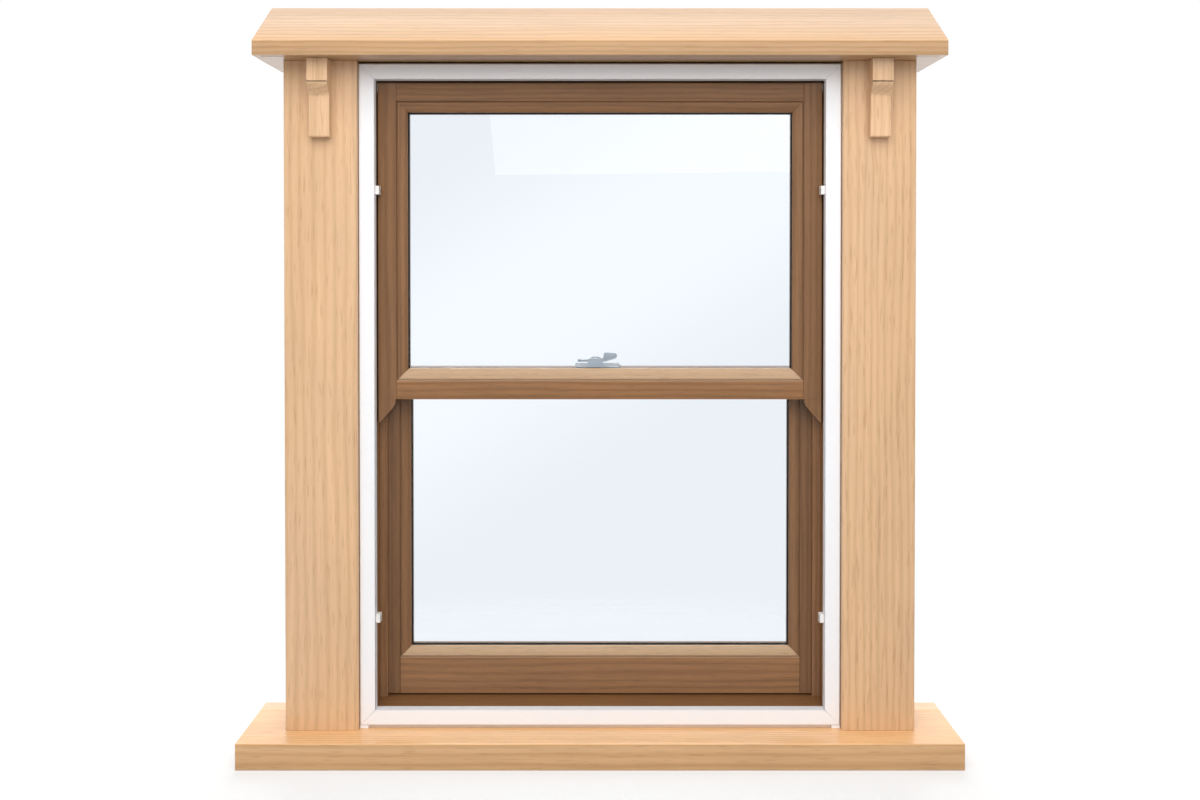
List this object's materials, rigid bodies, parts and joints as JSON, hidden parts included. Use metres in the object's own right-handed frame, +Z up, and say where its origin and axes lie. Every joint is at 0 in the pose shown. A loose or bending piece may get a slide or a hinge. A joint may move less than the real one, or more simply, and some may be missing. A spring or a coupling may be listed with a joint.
{
  "type": "sash window",
  "caption": "Vertical sliding sash window: oak sill, posts and bracketed hood around a brown oak box frame with sliding glazed sashes, white outer trim and a lever fastener.",
  "frame": {"origin": "bottom centre of the oak sill, which is the bottom centre of the whole part's box", "axes": "+X to the right seen from outside, +Y from the outside towards the room, +Z up"},
  "size_m": [1.24, 0.26, 1.317],
  "materials": {
    "light_oak": "oiled light oak, fine straight grain",
    "brown_oak": "oak stained walnut brown, satin lacquer",
    "white_trim": "white powder coat on hollow aluminium trim",
    "white_nylon": "moulded white nylon",
    "bush_nylon": "moulded natural nylon",
    "clear_glass": "clear float glass",
    "rubber_gasket": "extruded black rubber",
    "satin_zinc": "die-cast zinc, satin plated",
    "cast_cleat": "cast aluminium",
    "tube_aluminium": "drawn aluminium tube",
    "spring_steel": "zinc plated spring steel",
    "screw_steel": "zinc plated steel"
  },
  "bodies": {
    "frame": {"sill_board": "light_oak", "sill_back_strip": "light_oak", "post_left": "light_oak", "post_right": "light_oak", "hood_board": "light_oak", "bracket_left": "light_oak", "bracket_right": "light_oak", "trim_head": "white_trim", "trim_sill": "white_trim", "trim_left": "white_trim", "trim_right": "white_trim", "trim_corner_cleats": "cast_cleat", "trim_packer": "white_trim", "retainer_clips": "white_nylon", "frame_screws": "screw_steel", "frame_head": "brown_oak", "frame_jamb_left": "brown_oak", "frame_jamb_right": "brown_oak", "frame_sill": "brown_oak", "parting_bead_left": "brown_oak", "parting_bead_right": "brown_oak", "parting_bead_head": "brown_oak", "staff_bead_left": "brown_oak", "staff_bead_right": "brown_oak", "staff_bead_head": "brown_oak", "staff_bead_sill": "brown_oak", "balance_tubes": "tube_aluminium", "balance_springs": "spring_steel"},
    "upper_sash": {"upper_top_rail": "brown_oak", "upper_meeting_rail": "brown_oak", "upper_stile_left": "brown_oak", "upper_stile_right": "brown_oak", "upper_glass": "clear_glass", "upper_gasket": "rubber_gasket", "upper_bead_top": "brown_oak", "upper_bead_bottom": "brown_oak", "upper_bead_left": "brown_oak", "upper_bead_right": "brown_oak", "upper_balance_rods": "spring_steel", "keep": "satin_zinc", "keep_screws": "screw_steel"},
    "lower_sash": {"lower_meeting_rail": "brown_oak", "lower_bottom_rail": "brown_oak", "lower_stile_left": "brown_oak", "lower_stile_right": "brown_oak", "lower_glass": "clear_glass", "lower_gasket": "rubber_gasket", "lower_bead_top": "brown_oak", "lower_bead_bottom": "brown_oak", "lower_bead_left": "brown_oak", "lower_bead_right": "brown_oak", "lower_balance_rods": "spring_steel", "fastener_base": "satin_zinc", "fastener_pivot": "screw_steel", "fastener_screws": "screw_steel"},
    "fastener_lever": {"fastener_lever": "satin_zinc"},
    "upper_bush_left": {"upper_bush_left": "bush_nylon"},
    "upper_bush_right": {"upper_bush_right": "bush_nylon"},
    "lower_bush_left": {"lower_bush_left": "bush_nylon"},
    "lower_bush_right": {"lower_bush_right": "bush_nylon"}
  },
  "joints": [
    {"name": "lower_sash_slide", "type": "slide", "parent": "frame", "child": "lower_sash", "axis": [0, 0, 1], "range_m": [0, 0.41]},
    {"name": "upper_sash_slide", "type": "slide", "parent": "frame", "child": "upper_sash", "axis": [0, 0, -1], "range_m": [0, 0.41]},
    {"name": "lever_turn", "type": "hinge", "parent": "lower_sash", "child": "fastener_lever", "pos_m": [-0.008, 0.048, 0.68], "axis": [0, 0, 1], "range_deg": [0, 90]},
    {"name": "upper_bush_left_spin", "type": "hinge", "parent": "frame", "child": "upper_bush_left", "pos_m": [-0.3815, 0.0065, 0.73], "axis": [0, 0, 1], "range_deg": [-2960, 0]},
    {"name": "upper_bush_right_spin", "type": "hinge", "parent": "frame", "child": "upper_bush_right", "pos_m": [0.3815, 0.0065, 0.73], "axis": [0, 0, 1], "range_deg": [-2960, 0]},
    {"name": "lower_bush_left_spin", "type": "hinge", "parent": "frame", "child": "lower_bush_left", "pos_m": [-0.3815, 0.0495, 0.73], "axis": [0, 0, 1], "range_deg": [0, 2960]},
    {"name": "lower_bush_right_spin", "type": "hinge", "parent": "frame", "child": "lower_bush_right", "pos_m": [0.3815, 0.0495, 0.73], "axis": [0, 0, 1], "range_deg": [0, 2960]}
  ],
  "couplings": [
    {"joint": "upper_bush_left_spin", "follows": "upper_sash_slide", "rad_per_m": -125.66},
    {"joint": "upper_bush_right_spin", "follows": "upper_sash_slide", "rad_per_m": -125.66},
    {"joint": "lower_bush_left_spin", "follows": "lower_sash_slide", "rad_per_m": 125.66},
    {"joint": "lower_bush_right_spin", "follows": "lower_sash_slide", "rad_per_m": 125.66}
  ]
}
